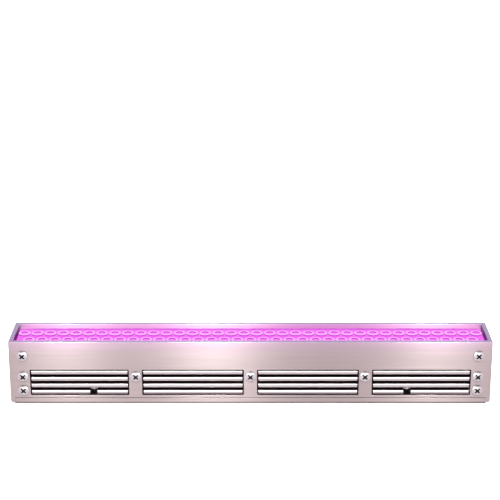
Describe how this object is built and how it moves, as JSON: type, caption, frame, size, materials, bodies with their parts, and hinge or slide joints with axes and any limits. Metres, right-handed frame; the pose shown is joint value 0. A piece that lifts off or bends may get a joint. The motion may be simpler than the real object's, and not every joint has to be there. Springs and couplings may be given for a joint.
{
  "type": "led grow light",
  "caption": "Rigid LED grow light bar with two staggered rows of lenses over an extruded heat sink in a windowed aluminium case",
  "frame": {"origin": "middle of the flat back of the base plate, which is the face the bar rests on", "axes": "+X along the bar, -Y toward the front side panel, +Z out of the lenses"},
  "size_m": [0.457, 0.057, 0.0629],
  "materials": {
    "anodised_case": "satin anodised, warm grey with a pink cast",
    "sink_metal": "extruded, clear anodised",
    "block_metal": "machined",
    "pad_silicone": "matt grey silicone pad",
    "board_white": "metal-core board with white solder mask",
    "led_red": "LED package with clear silicone dome",
    "led_blue": "LED package with clear silicone dome",
    "lens_clear": "clear acrylic lens, lit magenta",
    "holder_plastic": "white moulded plastic, lit magenta",
    "gasket_silicone": "translucent silicone",
    "screw_steel": "stainless steel",
    "nut_steel": "stainless steel",
    "inlet_metal": "nickel-plated brass",
    "pin_brass": "gold-plated pins",
    "inlet_black": "moulded black nylon",
    "seal_black": "black nitrile",
    "lead_red": "red silicone insulation",
    "lead_black": "black silicone insulation",
    "terminal_plastic": "moulded white nylon"
  },
  "bodies": {
    "root": {"front_panel": "anodised_case", "rear_panel": "anodised_case", "left_end_plate": "anodised_case", "right_end_plate": "anodised_case", "base_plate": "anodised_case", "heat_sink": "sink_metal", "left_end_block": "block_metal", "right_end_block": "block_metal", "thermal_pad": "pad_silicone", "led_board": "board_white", "red_leds": "led_red", "blue_leds": "led_blue", "back_row_lenses": "lens_clear", "front_row_lenses": "lens_clear", "lens_holder": "holder_plastic", "holder_gasket": "gasket_silicone", "front_panel_screws": "screw_steel", "rear_panel_screws": "screw_steel", "left_end_screws": "screw_steel", "right_end_screws": "screw_steel", "base_screws": "screw_steel", "base_nuts": "nut_steel", "board_screws": "screw_steel", "inlet_shell": "inlet_metal", "inlet_nut": "inlet_metal", "inlet_seal": "seal_black", "inlet_insulator": "inlet_black", "inlet_pins": "pin_brass", "positive_lead": "lead_red", "negative_lead": "lead_black", "board_terminal": "terminal_plastic"}
  },
  "joints": []
}
